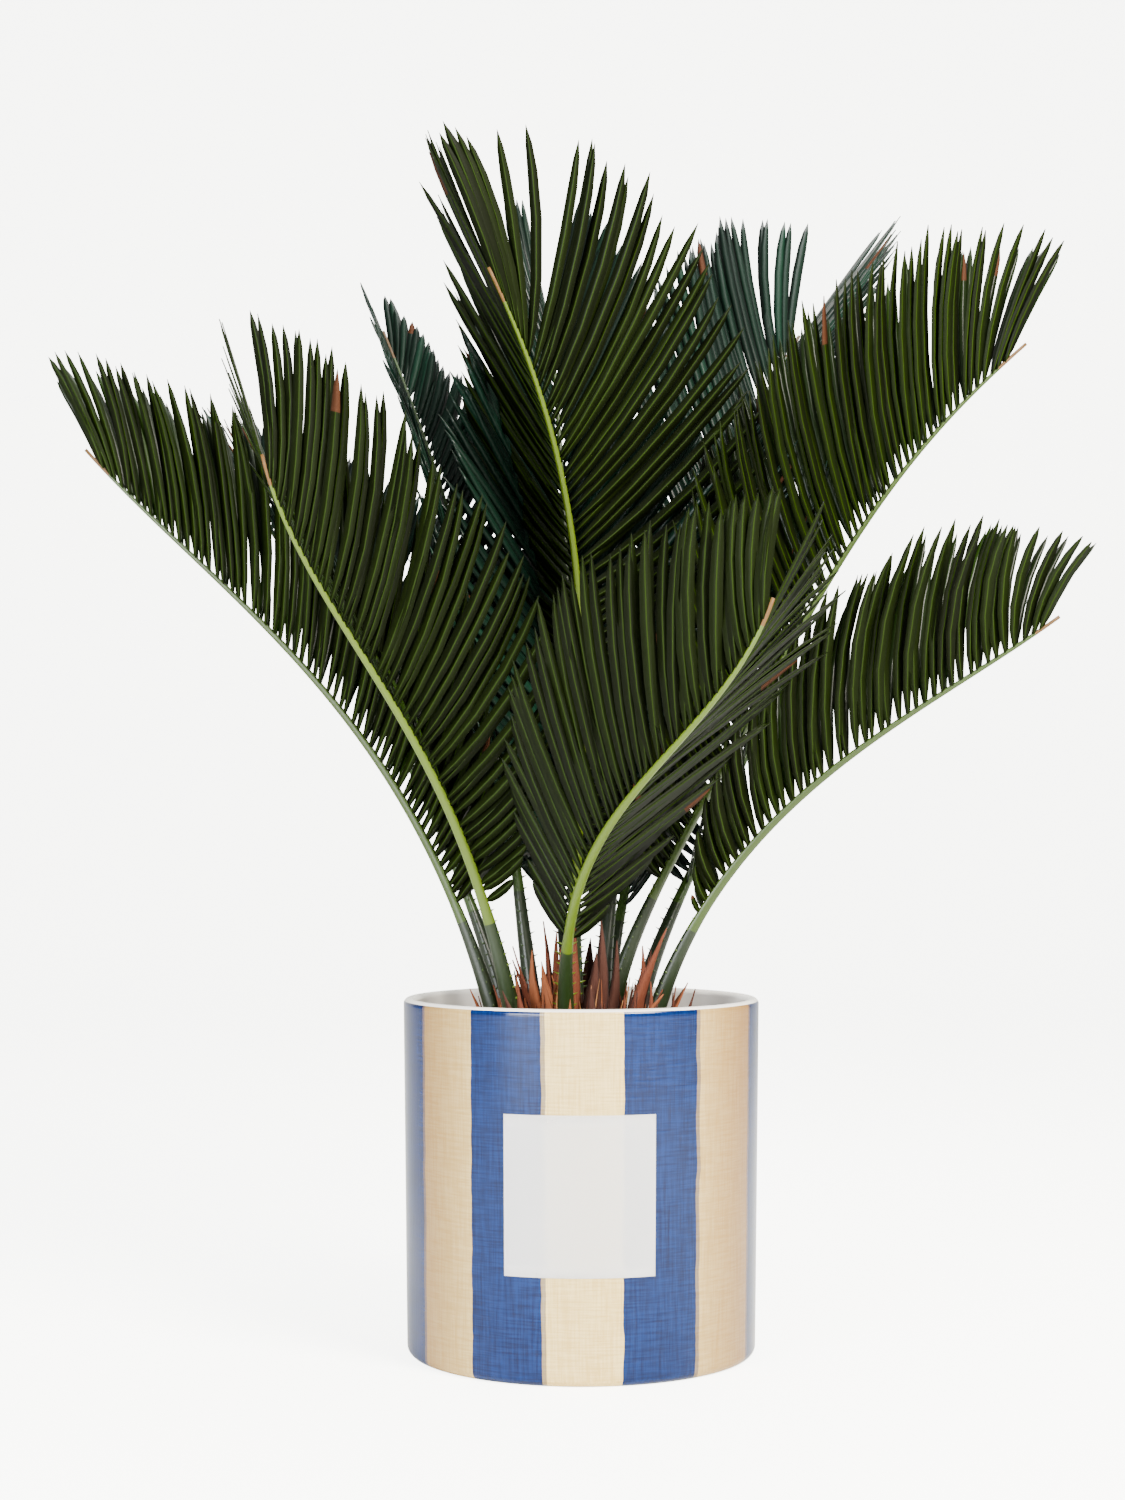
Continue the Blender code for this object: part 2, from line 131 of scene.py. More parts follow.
def arcPoints(centre, radius, start, end, steps):
    # Points of a profile along an arc, with its angles in degrees.
    points = []
    for i in range(steps + 1):
        angle = math.radians(start + (end - start) * i / steps)
        points.append((centre[0] + radius * math.cos(angle), centre[1] + radius * math.sin(angle)))
    return points


# Camera at the photo's height and distance, with its slight upward tilt.
view = {"place": (-0.0106, -1.44, 0.298), "lens": 60.48, "tilt": 1.7, "sensorWidth": 36, "nearest": 0.01}
cameraData = bpy.data.cameras.new("camera")
cameraData.lens = view["lens"]
cameraData.sensor_width = view["sensorWidth"]
cameraData.clip_start = view["nearest"]
camera = bpy.data.objects.new("camera", cameraData)
camera.location = view["place"]
camera.rotation_euler = (math.radians(90 + view["tilt"]), 0, 0)
bpy.context.scene.collection.objects.link(camera)
bpy.context.scene.camera = camera
print("camera set")


# The pot: a fine turned body, its stripes painted by angle, its rim and inside in cream glaze.
# Stripe edges are degrees from the front towards the viewer's right; overlap is a share of a turn.
pot = {
    "height": 0.200, "topRadius": 0.101, "footRadius": 0.0985, "wall": 0.0065, "floor": 0.008,
    "edge": 0.005, "corner": 0.006, "rimLine": 0.1986, "steps": 192,
    "innerHeights": (0.06, 0.11, 0.16), "outerHeights": (0.1955, 0.16, 0.12, 0.08, 0.04),
    "stripes": (-60.6, -36.8, -12.6, 11.7, 37.9, 66.3, 92.2, 118.1, 144.0, 169.9, 195.8, 221.7, 247.6, 273.5),
    "overlap": 0.0006, "overlapBlue": 0.62, "wander": 0.030,
    # The side shade colour is painted shade that darkens the beige towards both sides.
    "blues": ("#001036", "#012358"), "beiges": ("#c2a562", "#d8bf80"), "sideShade": "#683800",
}


def potRadius(z):
    return pot["footRadius"] + (pot["topRadius"] - pot["footRadius"]) * z / pot["height"]


def stripeMaterial():
    # Two hand-brushed colours under a clear wet-looking glaze.
    material, shader = newMaterial("brushed_stripe_glaze", {
        "Roughness": 0.12, "IOR": 1.50, "Specular IOR Level": 0.28})
    place = objectCoordinates(material)
    axes = addNode(material, "ShaderNodeSeparateXYZ", {}, {"Vector": place})
    toViewer = addNode(material, "ShaderNodeMath", {"operation": "MULTIPLY", 1: -1.0}, {0: axes.outputs["Y"]})
    turn = addNode(material, "ShaderNodeMath", {"operation": "ARCTAN2"},
                   {0: axes.outputs["X"], 1: toViewer.outputs[0]})
    # The brush wanders by about a millimetre over 20 mm of height.
    wander = addNode(material, "ShaderNodeTexNoise", {"Scale": 48.0, "Detail": 3.0}, {"Vector": place})
    shift = addNode(material, "ShaderNodeMath",
                    {"operation": "MULTIPLY_ADD", 1: pot["wander"], 2: math.pi - pot["wander"] / 2},
                    {0: wander.outputs["Fac"]})
    moved = addNode(material, "ShaderNodeMath", {"operation": "ADD"},
                    {0: turn.outputs[0], 1: shift.outputs[0]})
    share = addNode(material, "ShaderNodeMath", {"operation": "MULTIPLY", 1: 0.5 / math.pi},
                    {0: moved.outputs[0]})
    ramp = addNode(material, "ShaderNodeValToRGB", {}, {"Fac": share.outputs[0]})
    bounds = sorted(((edge + 180) % 360 / 360, i % 2) for i, edge in enumerate(pot["stripes"]))
    ramp.color_ramp.interpolation = "CONSTANT"
    stops = ramp.color_ramp.elements
    while len(stops) > 1:
        stops.remove(stops[-1])
    stops[0].position = 0.0
    stops[0].color = (1.0 - bounds[0][1],) * 3 + (1.0,)
    # Where two colours meet, about 0.4 mm on each side takes both.
    for middle, isBlue in bounds:
        for offset, value in ((-pot["overlap"], pot["overlapBlue"]), (pot["overlap"], float(isBlue))):
            stop = stops.new(middle + offset)
            stop.color = (value,) * 3 + (1.0,)
    # Upright and level brush strokes, about a millimetre apart, cross like a weave.
    upright = addNode(material, "ShaderNodeMapping", {"Scale": (900, 900, 45)}, {"Vector": place})
    level = addNode(material, "ShaderNodeMapping", {"Scale": (60, 60, 1000)}, {"Vector": place})
    strokesA = addNode(material, "ShaderNodeTexNoise", {"Scale": 1.0, "Detail": 4.0},
                       {"Vector": upright.outputs["Vector"]})
    strokesB = addNode(material, "ShaderNodeTexNoise", {"Scale": 1.0, "Detail": 4.0},
                       {"Vector": level.outputs["Vector"]})
    weave = addNode(material, "ShaderNodeMath", {"operation": "MULTIPLY"},
                    {0: strokesA.outputs["Fac"], 1: strokesB.outputs["Fac"]})
    spread = addNode(material, "ShaderNodeMapRange", {"From Min": 0.14, "From Max": 0.36},
                     {"Value": weave.outputs[0]})
    blue, beige = [
        addNode(material, "ShaderNodeMix", {"data_type": "RGBA", 6: linear(dark), 7: linear(pale)},
                {0: spread.outputs["Result"]})
        for dark, pale in (pot["blues"], pot["beiges"])]
    # Towards both sides, where the wall turns away from the lamps in front, the beige darkens to amber:
    # painted shade.
    sideways = addNode(material, "ShaderNodeMath", {"operation": "ABSOLUTE"}, {0: axes.outputs["X"]})
    sideShadeWeight = addNode(material, "ShaderNodeMapRange", {"From Min": 0.040, "From Max": 0.105},
                   {"Value": sideways.outputs[0]})
    sideShade = addNode(material, "ShaderNodeMix", {"data_type": "RGBA", 7: linear(pot["sideShade"])},
                    {0: sideShadeWeight.outputs["Result"], 6: beige.outputs[2]})
    paint = addNode(material, "ShaderNodeMix", {"data_type": "RGBA"},
                    {0: ramp.outputs["Color"], 6: sideShade.outputs[2], 7: blue.outputs[2]})
    material.node_tree.links.new(paint.outputs[2], shader.inputs["Base Color"])
    bump = addNode(material, "ShaderNodeBump", {"Strength": 0.25, "Distance": 0.0004},
                   {"Height": weave.outputs[0]})
    material.node_tree.links.new(bump.outputs["Normal"], shader.inputs["Normal"])
    return material


def creamMaterial():
    # Plain off-white glaze, a little uneven, that catches long soft highlights.
    material, shader = newMaterial("cream_glaze", {
        "Base Color": "#ece8e0", "Roughness": 0.14, "IOR": 1.52, "Coat Weight": 0.3})
    addBump(material, shader, 60.0, 2.0, 0.2, 0.0004)
    return material


def makePot():
    rim = pot["wall"] / 2
    inner = potRadius(pot["height"]) - pot["wall"]
    floorRadius = potRadius(pot["floor"]) - pot["wall"]
    middle = (inner + rim, pot["height"] - rim)
    points = [(0, pot["floor"])]
    points += arcPoints((floorRadius - pot["corner"], pot["floor"] + pot["corner"]), pot["corner"], -90, 0, 6)
    points += [(potRadius(z) - pot["wall"], z) for z in pot["innerHeights"]]
    points += arcPoints(middle, rim, 180, 0, 16)
    points += [(potRadius(z), z) for z in pot["outerHeights"]]
    points += arcPoints((pot["footRadius"] - pot["edge"], pot["edge"]), pot["edge"], 0, -90, 8)
    points.append((0, 0))
    shape = spinProfile(points, pot["steps"])
    for face in shape.faces:
        place = face.calc_center_median()
        isOuter = math.hypot(place.x, place.y) > potRadius(place.z) - pot["wall"] / 2
        isPainted = (isOuter or place.z < pot["floor"] / 2) and place.z < pot["rimLine"]
        face.material_index = 0 if isPainted else 1
    makeObject("striped_pot", shape, [stripeMaterial(), creamMaterial()], ["pot"])


makePot()
print("pot made")


# The label: a bare white sheet that follows the pot's wall.
label = {"width": 0.083, "height": 0.086, "middle": 0.101, "bearing": 269.1, "gap": 0.0003,
         "thickness": 0.0004, "steps": 48, "rows": 12}


def makeLabel():
    # Coated paper: soft white with a faint sheen and fine fibre.
    material, shader = newMaterial("coated_label_paper", {
        "Base Color": "#fdfdfc", "Roughness": 0.5, "IOR": 1.45, "Coat Weight": 0.15, "Coat Roughness": 0.3})
    addBump(material, shader, 1400.0, 3.0, 0.12, 0.0001)
    shape = bmesh.new()
    grid = []
    for j in range(label["rows"] + 1):
        z = label["middle"] + (j / label["rows"] - 0.5) * label["height"]
        reach = potRadius(z) + label["gap"]
        row = []
        for i in range(label["steps"] + 1):
            across = (i / label["steps"] - 0.5) * label["width"]
            angle = math.radians(label["bearing"]) + across / potRadius(label["middle"])
            row.append(shape.verts.new((reach * math.cos(angle), reach * math.sin(angle), z)))
        grid.append(row)
    for low, high in zip(grid, grid[1:]):
        for i in range(label["steps"]):
            shape.faces.new((low[i], low[i + 1], high[i + 1], high[i]))
    bmesh.ops.solidify(shape, geom=shape.faces[:], thickness=-label["thickness"])
    bmesh.ops.recalc_face_normals(shape, faces=shape.faces)
    makeObject("bare_label", shape, [material], ["label"])


makeLabel()
print("label made")


# Soil: a crumbly mound with bark chips, inside the pot.
soil = {"top": 0.150, "base": 0.0083, "gap": 0.0068, "corner": 0.006, "rings": 26, "steps": 120,
        "relief": 0.0022, "fall": 0.003, "fallReach": 0.093, "lumps": 110, "crumbs": 320,
        "chips": 1500, "chipSize": (0.0012, 0.0042), "chipWidth": (0.35, 0.7), "chipHeight": (0.25, 0.45)}


def soilMaterials():
    # Damp peat: near-black brown with paler crumbs and a rough face.
    peat, shader = newMaterial("damp_peat", {"Roughness": 0.95, "Specular IOR Level": 0.2})
    grain = addBump(peat, shader, 420.0, 6.0, 0.9, 0.0015)
    ramp = addNode(peat, "ShaderNodeValToRGB", {}, {"Fac": grain.outputs["Fac"]})
    ramp.color_ramp.elements[0].color = linear("#1d140d")
    ramp.color_ramp.elements[1].color = linear("#4a3525")
    ramp.color_ramp.elements[0].position = 0.35
    ramp.color_ramp.elements[1].position = 0.75
    peat.node_tree.links.new(ramp.outputs["Color"], shader.inputs["Base Color"])
    chips = []
    for name, colour in (("dark_chip", "#2b1c12"), ("brown_chip", "#4d3321"), ("pale_chip", "#7a5c3e")):
        chip, chipShader = newMaterial(name, {"Base Color": colour, "Roughness": 0.85})
        addBump(chip, chipShader, 900.0, 3.0, 0.5, 0.0005)
        chips.append(chip)
    return peat, chips


def soilHeight(x, y):
    # Lumps about 9 mm apart with crumbs of 3 mm on them, falling a little towards the wall.
    place = Vector((x, y, 0))
    rough = noise.noise(place * soil["lumps"] + Vector((0, 0, 3.1)))
    rough += 0.5 * noise.noise(place * soil["crumbs"] + Vector((0, 0, 7.7)))
    fall = soil["fall"] * (math.hypot(x, y) / soil["fallReach"]) ** 2
    return soil["top"] - soil["relief"] - fall + soil["relief"] * 0.6 * rough


def makeSoil():
    peat, chipLooks = soilMaterials()
    shape = bmesh.new()
    outer = potRadius(soil["top"]) - soil["gap"]
    rings = []
    for j in range(1, soil["rings"] + 1):
        reach = outer * j / soil["rings"]
        ring = []
        for i in range(soil["steps"]):
            angle = 2 * math.pi * i / soil["steps"]
            x, y = reach * math.cos(angle), reach * math.sin(angle)
            ring.append(shape.verts.new((x, y, soilHeight(x, y))))
        rings.append(ring)
    low = potRadius(soil["base"] + soil["corner"]) - soil["gap"]
    turns = [2 * math.pi * i / soil["steps"] for i in range(soil["steps"])]
    for reach, z in ((low, soil["base"] + soil["corner"]), (low - soil["corner"], soil["base"])):
        rings.append([shape.verts.new((reach * math.cos(a), reach * math.sin(a), z)) for a in turns])
    middle = shape.verts.new((0, 0, soilHeight(0, 0)))
    for a, b in zip(rings, rings[1:]):
        for i in range(soil["steps"]):
            n = (i + 1) % soil["steps"]
            shape.faces.new((a[i], b[i], b[n], a[n]))
    for i in range(soil["steps"]):
        shape.faces.new((middle, rings[0][i], rings[0][(i + 1) % soil["steps"]]))
    shape.faces.new(rings[-1][::-1])
    bmesh.ops.recalc_face_normals(shape, faces=shape.faces)
    makeObject("soil_mound", shape, [peat], ["soil"])

    crumbs = {"points": [], "faces": [], "looks": []}
    for _ in range(soil["chips"]):
        reach = (outer - 0.005) * math.sqrt(chance.uniform(0.20, 1.0))
        angle = chance.uniform(0, 2 * math.pi)
        x, y = reach * math.cos(angle), reach * math.sin(angle)
        size = chance.uniform(*soil["chipSize"])
        turn = chance.uniform(0, math.pi)
        first = len(crumbs["points"])
        along = Vector((math.cos(turn), math.sin(turn), chance.uniform(-0.3, 0.3))) * size
        across = Vector((-math.sin(turn), math.cos(turn), 0)) * size * chance.uniform(*soil["chipWidth"])
        up = Vector((0, 0, 1)) * size * chance.uniform(*soil["chipHeight"])
        centre = Vector((x, y, soilHeight(x, y)))
        crumbs["points"] += [centre + along, centre + across, centre - along, centre - across,
                             centre + up, centre - up]
        crumbs["faces"] += [(first + k, first + (k + 1) % 4, first + 4) for k in range(4)]
        crumbs["faces"] += [(first + (k + 1) % 4, first + k, first + 5) for k in range(4)]
        crumbs["looks"] += [chance.choice((0, 0, 1, 1, 2))] * 8
    makeObject("bark_chips", crumbs, chipLooks, [])


makeSoil()
print("soil made")


# Trunk: a low domed stem, its sides cut into the lozenges that old leaf bases leave.
trunk = {"top": 0.179, "domeRadius": 0.170, "reach": 0.051, "waist": 0.053, "cut": 0.047, "low": 0.1503,
         "steps": 144, "domeRings": 12, "lozenges": 13, "slant": 1.3, "relief": 0.0018, "plainReach": 0.03}


def domeHeight(reach):
    return trunk["top"] - trunk["domeRadius"] + math.sqrt(trunk["domeRadius"] ** 2 - reach ** 2)


def makeTrunk():
    # Fibrous brown bark: dark in the grooves and paler on the ridges.
    material, shader = newMaterial("fibrous_bark", {"Roughness": 0.9, "Specular IOR Level": 0.25})
    grain = addBump(material, shader, 380.0, 6.0, 0.8, 0.0012)
    ramp = addNode(material, "ShaderNodeValToRGB", {}, {"Fac": grain.outputs["Fac"]})
    ramp.color_ramp.elements[0].color = linear("#24140c")
    ramp.color_ramp.elements[1].color = linear("#7b4a28")
    ramp.color_ramp.elements[0].position = 0.32
    ramp.color_ramp.elements[1].position = 0.78
    material.node_tree.links.new(ramp.outputs["Color"], shader.inputs["Base Color"])
    edge = domeHeight(trunk["reach"])
    reaches = [trunk["reach"] * i / trunk["domeRings"] for i in range(1, trunk["domeRings"] + 1)]
    profile = [(reach, domeHeight(reach)) for reach in reaches]
    profile += [(trunk["waist"], edge - 0.25 * (edge - trunk["low"])),
                (trunk["waist"] - 0.001, edge - 0.6 * (edge - trunk["low"])), (trunk["cut"], trunk["low"])]
    shape = bmesh.new()
    rings = []
    for j, (reach, z) in enumerate(profile):
        ring = []
        for i in range(trunk["steps"]):
            angle = 2 * math.pi * i / trunk["steps"]
            turn, slant = trunk["lozenges"] * angle, trunk["slant"] * j
            wave = math.sin(turn + slant) * math.sin(turn - slant)
            r = reach - trunk["relief"] * (1 - abs(wave)) * min(1.0, reach / trunk["plainReach"])
            ring.append(shape.verts.new((r * math.cos(angle), r * math.sin(angle), z)))
        rings.append(ring)
    top = shape.verts.new((0, 0, trunk["top"]))
    for i in range(trunk["steps"]):
        n = (i + 1) % trunk["steps"]
        shape.faces.new((top, rings[0][i], rings[0][n]))
        for a, b in zip(rings, rings[1:]):
            shape.faces.new((a[i], b[i], b[n], a[n]))
    shape.faces.new(rings[-1][::-1])
    bmesh.ops.recalc_face_normals(shape, faces=shape.faces)
    makeObject("scarred_trunk", shape, [material], ["trunk"])


makeTrunk()
print("trunk made")


# Fronds: the source's rule with its named angles, carried to the true number of leaflets.
# Climb and heading are angles along the rib, bare is its leafless share, leaflets are lengths from the
# first to the last, and a row's angles and lift set how its leaflets leave the rib. Sweep bends each
# leaflet forward, and over the last share, fold, the leaflets close up towards the tip.
# Each frond's group picks colours that carry painted light: lighter ribs in front, darker ribs further back,
# and a bluish painted sky reflection on the back leaves.
fronds = {
    "frond_left_front": dict(
        climb=(75, 65, 54, 75), heading=(220, 212, 210), length=0.361, bare=0.24, fold=0.12, tone="front",
        leaflets=(0.020, 0.122, 0.127, 0.082), sweep=15,
        left=dict(angles=(67, 48, 23), lift=43), right=dict(angles=(65, 50, 26), lift=32)),
    "frond_centre_high": dict(
        climb=(87, 94, 75, 58), heading=(239, 237, 215), length=0.444, bare=0.20, fold=0.17, closing=4.0,
        tone="front",
        leaflets=(0.045, 0.125, 0.150, 0.078), sweep=15,
        left=dict(angles=(72, 54, 14), lift=57), right=dict(angles=(66, 50, 20), lift=28)),
    "frond_right_front": dict(
        climb=(77, 48, 37, 67), heading=(258, 303, 322), length=0.314, bare=0.22, fold=0.12, tone="front",
        leaflets=(0.032, 0.128, 0.112, 0.060), sweep=15,
        left=dict(angles=(60, 60, 36), lift=28), right=dict(angles=(60, 42, 31), lift=62)),
    "frond_left_low": dict(
        climb=(75, 60, 45, 48), heading=(178, 179, 182), length=0.424, bare=0.20, fold=0.12, tone="side",
        leaflets=(0.040, 0.144, 0.112, 0.078), sweep=15,
        left=dict(angles=(61, 49, 38), lift=61), right=dict(angles=(64, 44, 31), lift=64)),
    "frond_right_high": dict(
        climb=(85, 61, 60, 53, 41), heading=(7, 7, 3), length=0.477, bare=0.20, fold=0.12, tone="side",
        leaflets=(0.045, 0.128, 0.135, 0.064), sweep=15,
        left=dict(angles=(64, 48, 41), lift=69), right=dict(angles=(63, 55, 46), lift=66)),
    "frond_right_low": dict(
        climb=(77, 51, 34, 35), heading=(345, 347, 345), length=0.341, bare=0.24, fold=0.13, tone="side",
        leaflets=(0.014, 0.102, 0.106, 0.044), sweep=26,
        left=dict(angles=(57, 54, 56), lift=64), right=dict(angles=(54, 51, 56), lift=56)),
    "frond_right_behind": dict(
        climb=(82, 68, 53, 45), heading=(64, 56, 55), length=0.518, bare=0.22, fold=0.13, tone="back",
        leaflets=(0.045, 0.130, 0.150, 0.115), sweep=15,
        left=dict(angles=(66, 42, 36), lift=54), right=dict(angles=(65, 50, 31), lift=30)),
    "frond_centre_behind": dict(
        climb=(83, 82, 74, 66), heading=(98, 98, 102), length=0.455, bare=0.22, fold=0.10, tone="back",
        leaflets=(0.045, 0.125, 0.120, 0.086), sweep=12,
        left=dict(angles=(65, 46, 18), lift=44), right=dict(angles=(65, 46, 20), lift=44)),
    "frond_left_behind": dict(
        climb=(79, 79, 69, 60), heading=(139, 139, 134), length=0.450, bare=0.22, fold=0.12, tone="back",
        leaflets=(0.045, 0.128, 0.076, 0.050), sweep=15,
        left=dict(angles=(65, 50, 30), lift=37), right=dict(angles=(66, 43, 22), lift=29)),
    "frond_right_rear": dict(
        climb=(77, 57, 65, 48), heading=(40, 38, 33), length=0.418, bare=0.24, fold=0.12, tone="back",
        leaflets=(0.045, 0.128, 0.122, 0.080), sweep=15,
        left=dict(angles=(65, 50, 30), lift=50), right=dict(angles=(65, 50, 30), lift=50)),
    "frond_left_rear": dict(
        climb=(75, 60, 50, 46), heading=(152, 142, 136), length=0.420, bare=0.22, fold=0.12, tone="back",
        leaflets=(0.045, 0.120, 0.105, 0.060), sweep=15,
        left=dict(angles=(65, 52, 32), lift=48), right=dict(angles=(65, 52, 32), lift=48)),
    "frond_back_low": dict(
        climb=(75, 52, 38, 30), heading=(98, 104, 108), length=0.390, bare=0.22, fold=0.12, tone="back",
        leaflets=(0.045, 0.118, 0.105, 0.060), sweep=15,
        left=dict(angles=(65, 52, 36), lift=46), right=dict(angles=(65, 52, 36), lift=46)),
    "frond_back_right_low": dict(
        climb=(75, 52, 38, 32), heading=(72, 64, 58), length=0.385, bare=0.22, fold=0.12, tone="back",
        leaflets=(0.045, 0.118, 0.105, 0.060), sweep=15,
        left=dict(angles=(65, 52, 36), lift=46), right=dict(angles=(65, 52, 36), lift=46)),
}
rib = {"steps": 120, "halfWidth": (0.0056, 0.0028, 0.0010), "side": (0.0048, 0.0012, 0.0008),
       "keel": (0.0064, 0.0042, 0.0011), "sides": 14, "stations": 64, "squareness": 0.8, "foot": 0.0003,
       "woolly": 0.273, "green": 0.9, "burnt": 0.965, "spinesFrom": 0.26, "spinesShare": 0.72,
       "spinePitch": 0.0062, "spineLength": 0.0036, "spineRadius": 0.0008}
leaf = {"pitch": 0.0055, "topmost": 0.965, "width": 0.0066, "slimShare": 0.22, "slimmest": 0.001,
        "foldAngle": 0.20, "closing": 1.0, "twist": 13, "anglePlay": 1.8, "liftPlay": 3.0,
        "lengthPlay": 0.04, "bendPlay": 8, "hook": -7, "hookPlay": 9, "curl": 0.20, "midrib": 0.0006,
        "midribWidth": 0.10, "crown": 0.00025, "belly": 0.00035, "keelFrom": 0.0003, "inset": 0.75,
        "scorched": 0.06, "margin": 0.0005, "spray": 6,
        "shape": ((0.0, 0.30), (0.05, 0.48), (0.14, 0.80), (0.34, 0.98), (0.60, 1.0), (0.80, 0.88),
                  (0.92, 0.58), (1.0, 0.03))}


def blend(values, share):
    # The smooth curve through values spaced evenly from share 0 to share 1, read at share.
    last = len(values) - 1
    total = 0.0
    for i, value in enumerate(values):
        weight = 1.0
        for j in range(len(values)):
            if j != i:
                weight *= (share * last - j) / (i - j)
        total += value * weight
    return total


def direction(climb, heading):
    c, h = math.radians(climb), math.radians(heading)
    return Vector((math.cos(c) * math.cos(h), math.cos(c) * math.sin(h), math.sin(c)))


def ribAxes(frond, share):
    heading = blend(frond["heading"], share)
    along = direction(blend(frond["climb"], share), heading)
    right = Vector((math.sin(math.radians(heading)), -math.cos(math.radians(heading)), 0))
    return along, right, right.cross(along)


def ribLine(frond):
    centre = Vector((0, 0, trunk["top"] - trunk["domeRadius"]))
    foot = direction(frond["climb"][0], frond["heading"][0])
    points = [centre + (trunk["domeRadius"] + rib["foot"]) * foot]
    for i in range(rib["steps"]):
        along = ribAxes(frond, (i + 0.5) / rib["steps"])[0]
        points.append(points[-1] + along * (frond["length"] / rib["steps"]))
    return points


def ribPoint(line, share):
    place = min(max(share, 0.0), 1.0) * rib["steps"]
    i = min(int(place), rib["steps"] - 1)
    return line[i].lerp(line[i + 1], place - i)


def ribSize(frond, share):
    # Sizes are named at the foot, where the leaflets start, and at the tip.
    bare = frond["bare"]
    i, part = (0, share / bare) if share < bare else (1, (share - bare) / (1 - bare))
    return [sizes[i] + (sizes[i + 1] - sizes[i]) * part
            for sizes in (rib["halfWidth"], rib["side"], rib["keel"])]


def frondMaterials(tone):
    # Waxy leaf faces: a deeper sheen above, a duller olive below, and a pale line for the midrib. The back
    # group's bluish-green upper colours are a painted sky reflection on fronds that lean away.
    tones = {
        "front": (("#0a1500", "#0f1d00", "#192d00"), ("#080e00", "#0c1400"), "#1c2d00"),
        "side": (("#091300", "#0c1a00", "#142600"), ("#0a1000", "#0e1700"), "#1e3000"),
        # Painted sky reflection: the back group's upper faces are bluish green.
        "back": (("#06150e", "#091c13", "#0d271b"), ("#090f01", "#0c1501"), "#162604"),
    }
    uppers, unders, midrib = tones[tone]
    made = []
    looks = [("waxy_upper", colour, 0.34, 0.24) for colour in uppers]
    looks += [("olive_under", colour, 0.48, 0.1) for colour in unders]
    looks += [("pale_midrib", midrib, 0.45, 0.1), ("scorched_tip", "#3d2212", 0.6, 0.1)]
    for i, (name, colour, roughness, shine) in enumerate(looks):
        material, shader = newMaterial(f"{name}_{tone}_{i}", {
            "Base Color": colour, "Roughness": roughness, "IOR": 1.45, "Specular IOR Level": shine})
        addBump(material, shader, 900.0, 2.0, 0.15, 0.0002)
        made.append(material)
    return made


def ribMaterials(tone):
    # Smooth stalk skin: woolly brown at the foot, deep green, then yellow-green and a burnt tip. Each colour
    # steps darker from the front group to the side and back groups: lit and shaded copies of the stalk's own
    # colours, painted light on the front ribs and painted shade on those behind.
    colours = {"front": ("#24130a", "#142405", "#475a04", "#5c3d0e"),
               "side": ("#24130a", "#111e05", "#2c3f06", "#523810"),
               "back": ("#201008", "#0f1b05", "#223609", "#453012")}[tone]
    made = []
    for name, colour, roughness in zip(("woolly_foot", "stalk_skin", "rib_skin", "burnt_rib_tip"), colours,
                                       (0.8, 0.42, 0.38, 0.6)):
        material, shader = newMaterial(f"{name}_{tone}", {
            "Base Color": colour, "Roughness": roughness, "IOR": 1.45})
        addBump(material, shader, 500.0, 3.0, 0.25, 0.0003)
        made.append(material)
    return made


def makeRib(name, frond, line, materials):
    shape = {"points": [], "faces": [], "looks": []}
    n = rib["sides"]
    for j in range(rib["stations"] + 1):
        share = j / rib["stations"]
        wide, side, keel = ribSize(frond, share)
        right, up = ribAxes(frond, share)[1:]
        middle = ribPoint(line, share)
        for k in range(n):
            angle = 2 * math.pi * k / n
            high = side if math.sin(angle) > 0 else keel
            flat = math.copysign(abs(math.cos(angle)) ** rib["squareness"], math.cos(angle))
            shape["points"].append(middle + right * (wide * flat) + up * (high * math.sin(angle)))
        if j:
            low = n * (j - 1)
            ends = (rib["woolly"] * frond["bare"], rib["green"] * frond["bare"], rib["burnt"])
            look = sum(share > end for end in ends)
            for k in range(n):
                m = (k + 1) % n
                shape["faces"].append((low + m, low + k, low + n + k, low + n + m))
                shape["looks"].append(look)
    shape["faces"].append(tuple(range(n)))
    shape["faces"].append(tuple(range(n * rib["stations"] + n - 1, n * rib["stations"] - 1, -1)))
    shape["looks"] += [0, 3]
    # Short spines, leaning a little forward and up, line both edges of the bare stalk.
    count = int(frond["bare"] * frond["length"] * rib["spinesShare"] / rib["spinePitch"])
    for i in range(count):
        share = frond["bare"] * (rib["spinesFrom"] + (1 - rib["spinesFrom"]) * i / count)
        wide = ribSize(frond, share)[0]
        along, right, up = ribAxes(frond, share)
        for sign in (-1, 1):
            root = ribPoint(line, share) + right * (sign * wide * 0.85) + up * 0.0004
            size = rib["spineLength"] * chance.uniform(0.7, 1.25)
            tip = root + (right * sign + along * 0.35 + up * 0.25) * size
            first = len(shape["points"])
            for a, b in ((-1, -0.6), (1, -0.6), (0, 1)):
                shape["points"].append(root + (along * a + up * b) * rib["spineRadius"])
            shape["points"].append(tip)
            for k in range(3):
                shape["faces"].append((first + k, first + (k + 1) % 3, first + 3))
                shape["looks"].append(2)
    return makeObject(name.replace("frond", "rib"), shape, materials, [name])


def leafFold(place, frond):
    # What share of its angle a leaflet keeps where the last ones close up.
    closing = frond.get("closing", leaf["closing"]) * (place - (1 - frond["fold"])) / frond["fold"]
    return 1 - (1 - leaf["foldAngle"]) * min(max(closing, 0.0), 1.0)


